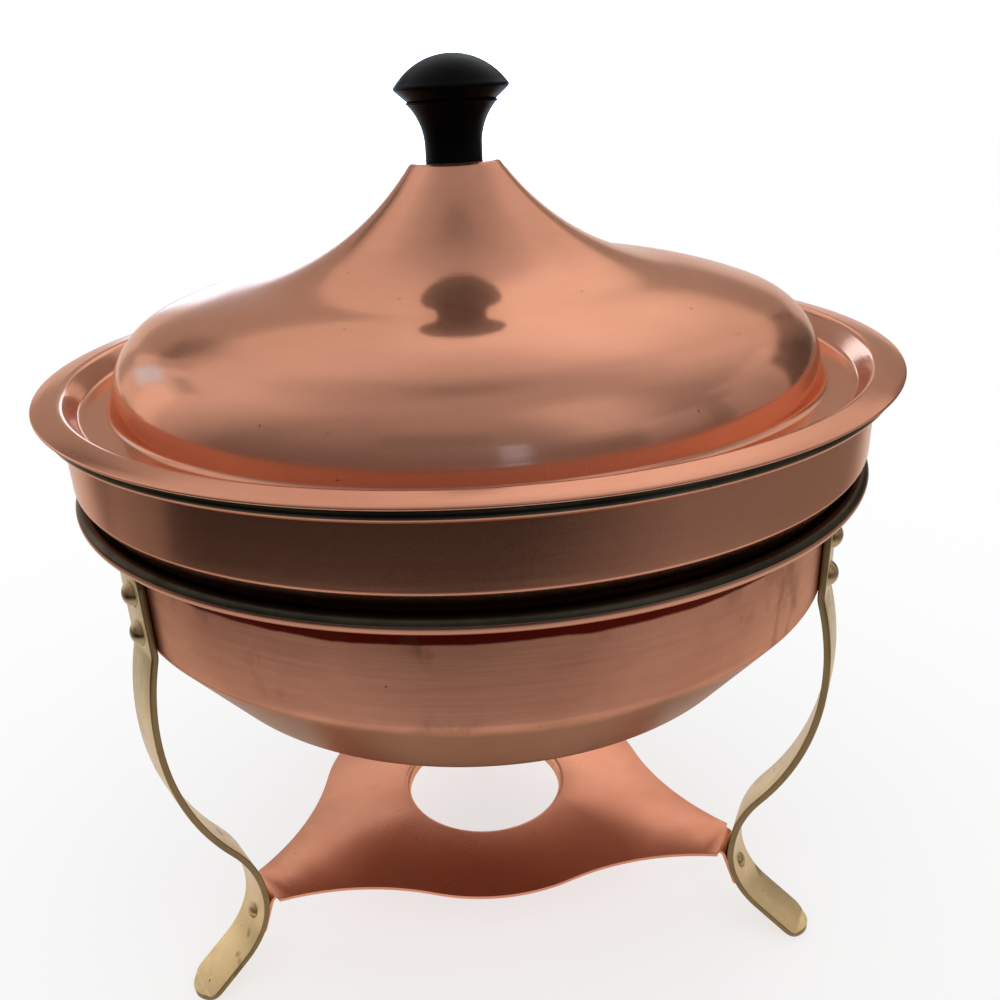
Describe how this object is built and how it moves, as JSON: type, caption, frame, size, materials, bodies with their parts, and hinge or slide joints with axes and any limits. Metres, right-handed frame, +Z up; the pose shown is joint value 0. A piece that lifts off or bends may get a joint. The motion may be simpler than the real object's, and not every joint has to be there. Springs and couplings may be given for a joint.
{
  "type": "chafing dish",
  "caption": "Round copper chafing dish: a domed lid over a food pan, nested in a water pan on bent brass legs with a burner plate.",
  "frame": {"origin": "on the floor, on the axis of the pans", "axes": "+Z up, +Y towards the rear leg, the two front legs to the left and right of -Y"},
  "size_m": [0.292, 0.292, 0.3193],
  "materials": {
    "copper": "satin polished copper",
    "brass": "satin brass",
    "black_plastic": "satin black",
    "plated_steel": "zinc plated"
  },
  "bodies": {
    "stand": {"water_pan": "copper", "burner_plate": "copper", "leg_left": "brass", "leg_right": "brass", "leg_rear": "brass", "pan_rivets_left": "brass", "pan_rivets_right": "brass", "pan_rivets_rear": "brass", "plate_rivet_left": "brass", "plate_rivet_right": "brass", "plate_rivet_rear": "brass"},
    "food_pan": {"food_pan": "copper"},
    "lid": {"lid": "copper", "knob": "black_plastic", "knob_screw": "plated_steel", "knob_washer": "plated_steel"}
  },
  "joints": [
    {"name": "pan_lift", "type": "slide", "parent": "stand", "child": "food_pan", "axis": [0, 0, 1], "range_m": [0, 0.09]},
    {"name": "lid_lift", "type": "slide", "parent": "food_pan", "child": "lid", "axis": [0, 0, 1], "range_m": [0, 0.12]}
  ]
}
